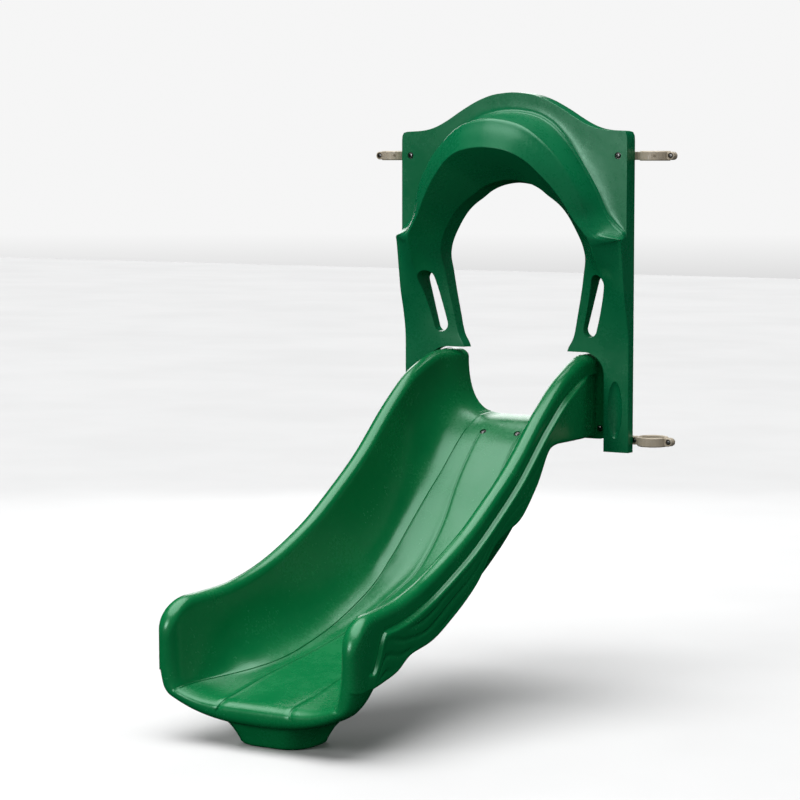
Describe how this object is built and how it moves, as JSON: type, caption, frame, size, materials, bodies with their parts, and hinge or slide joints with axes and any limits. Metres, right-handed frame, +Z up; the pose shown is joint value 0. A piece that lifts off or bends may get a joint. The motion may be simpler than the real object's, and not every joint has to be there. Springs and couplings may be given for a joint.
{
  "type": "playground slide",
  "caption": "Moulded wave slide with high rolled rims, a foot and a deck flange, framed by an arched entry hood held to two posts by clamps.",
  "frame": {"origin": "middle of the foot's base, on the ground", "axes": "+Z up, +Y from the exit towards the deck and the posts, +X across the slide; the object is mirrored about X = 0"},
  "size_m": [1.23, 1.7355, 2.083],
  "materials": {
    "bed_plastic": "semi-gloss moulded polyethylene, fine texture",
    "hood_plastic": "semi-gloss moulded polyethylene, fine texture",
    "clamp_coating": "tan powder coat over cast aluminium",
    "hardware": "dark weathered stainless steel"
  },
  "bodies": {
    "root": {"bed_bolt_left": "hardware", "bed_bolt_right": "hardware", "bed_nut_left": "hardware", "bed_nut_right": "hardware", "bed_washer_left": "hardware", "bed_washer_right": "hardware", "flange_bolt_left": "hardware", "flange_bolt_right": "hardware", "flange_nut_left": "hardware", "flange_nut_right": "hardware", "flange_washer_left": "hardware", "flange_washer_right": "hardware", "hood": "hood_plastic", "leg_bolt_left": "hardware", "leg_bolt_right": "hardware", "lower_clamp_front_left": "clamp_coating", "lower_clamp_front_right": "clamp_coating", "lower_clamp_rear_left": "clamp_coating", "lower_clamp_rear_right": "clamp_coating", "lower_ear_inner_bolt_left": "hardware", "lower_ear_inner_bolt_right": "hardware", "lower_ear_inner_nut_left": "hardware", "lower_ear_inner_nut_right": "hardware", "lower_ear_outer_bolt_left": "hardware", "lower_ear_outer_bolt_right": "hardware", "lower_ear_outer_nut_left": "hardware", "lower_ear_outer_nut_right": "hardware", "panel_bolt_left": "hardware", "panel_bolt_right": "hardware", "panel_nut_left": "hardware", "panel_nut_right": "hardware", "panel_washer_left": "hardware", "panel_washer_right": "hardware", "slide_bed": "bed_plastic", "upper_clamp_front_left": "clamp_coating", "upper_clamp_front_right": "clamp_coating", "upper_clamp_rear_left": "clamp_coating", "upper_clamp_rear_right": "clamp_coating", "upper_ear_bolt_left": "hardware", "upper_ear_bolt_right": "hardware", "upper_ear_nut_left": "hardware", "upper_ear_nut_right": "hardware"}
  },
  "joints": []
}
